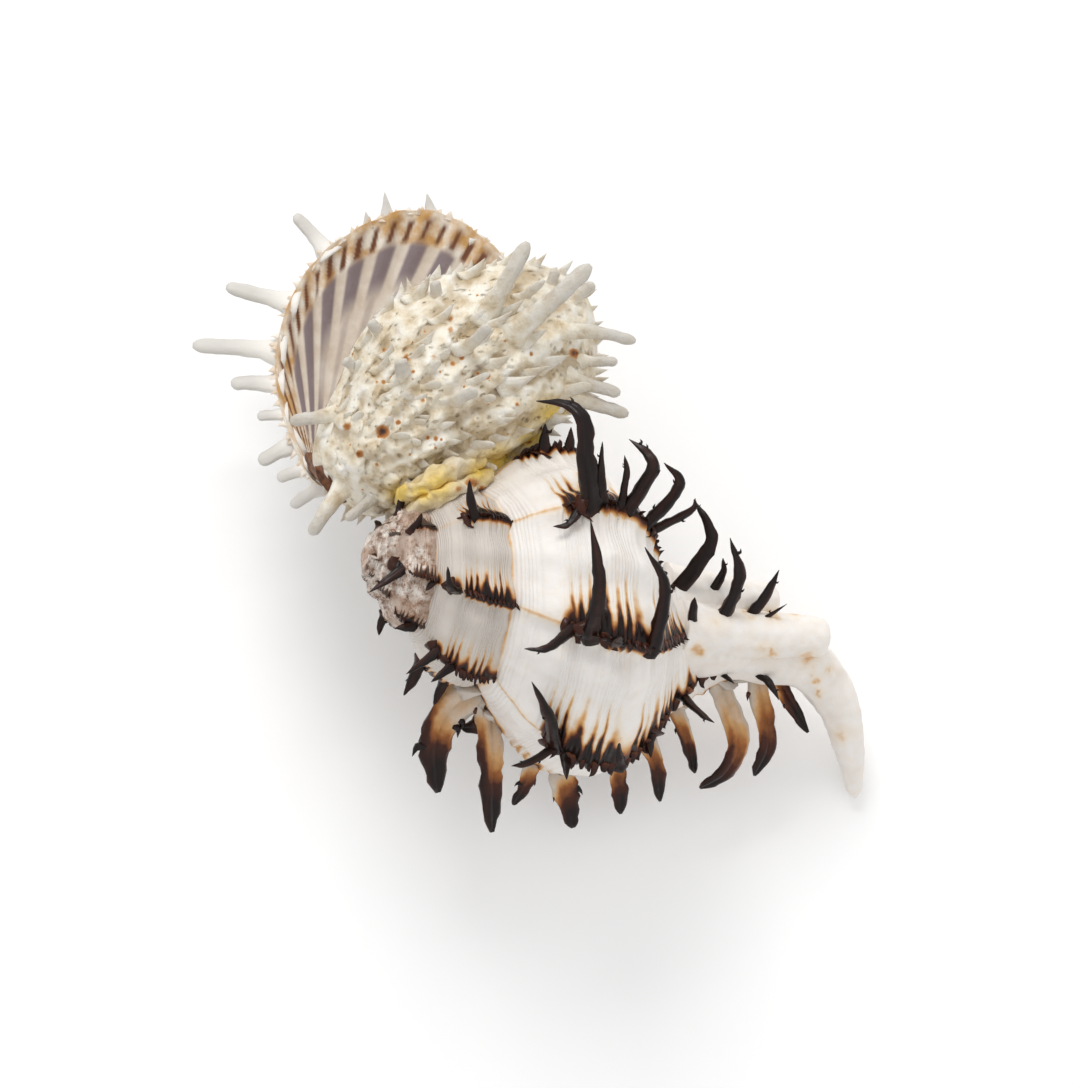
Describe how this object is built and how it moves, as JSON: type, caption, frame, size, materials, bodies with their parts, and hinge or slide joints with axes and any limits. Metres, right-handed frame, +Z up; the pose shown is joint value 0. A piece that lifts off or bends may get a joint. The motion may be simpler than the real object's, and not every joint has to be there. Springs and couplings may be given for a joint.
{
  "type": "murex shell",
  "caption": "Spiny murex shell with a gaping thorny oyster grown on its spire, resting on spines and canal tip.",
  "frame": {"origin": "centre of the box's base, on the surface that the shell rests on", "axes": "+X towards the siphonal canal, +Y towards the oyster, +Z up through the shell's back"},
  "size_m": [0.1432, 0.1376, 0.0852],
  "materials": {
    "murex": "satin white shell with near-black glossy spines ringed in brown",
    "oyster_outside": "matte chalky cream with brown specks",
    "oyster_inside": "satin beige with purple-grey grooves"
  },
  "bodies": {
    "root": {"murex_shell": "murex", "oyster_attached_valve": "oyster_outside", "oyster_free_valve": "oyster_inside"}
  },
  "joints": []
}
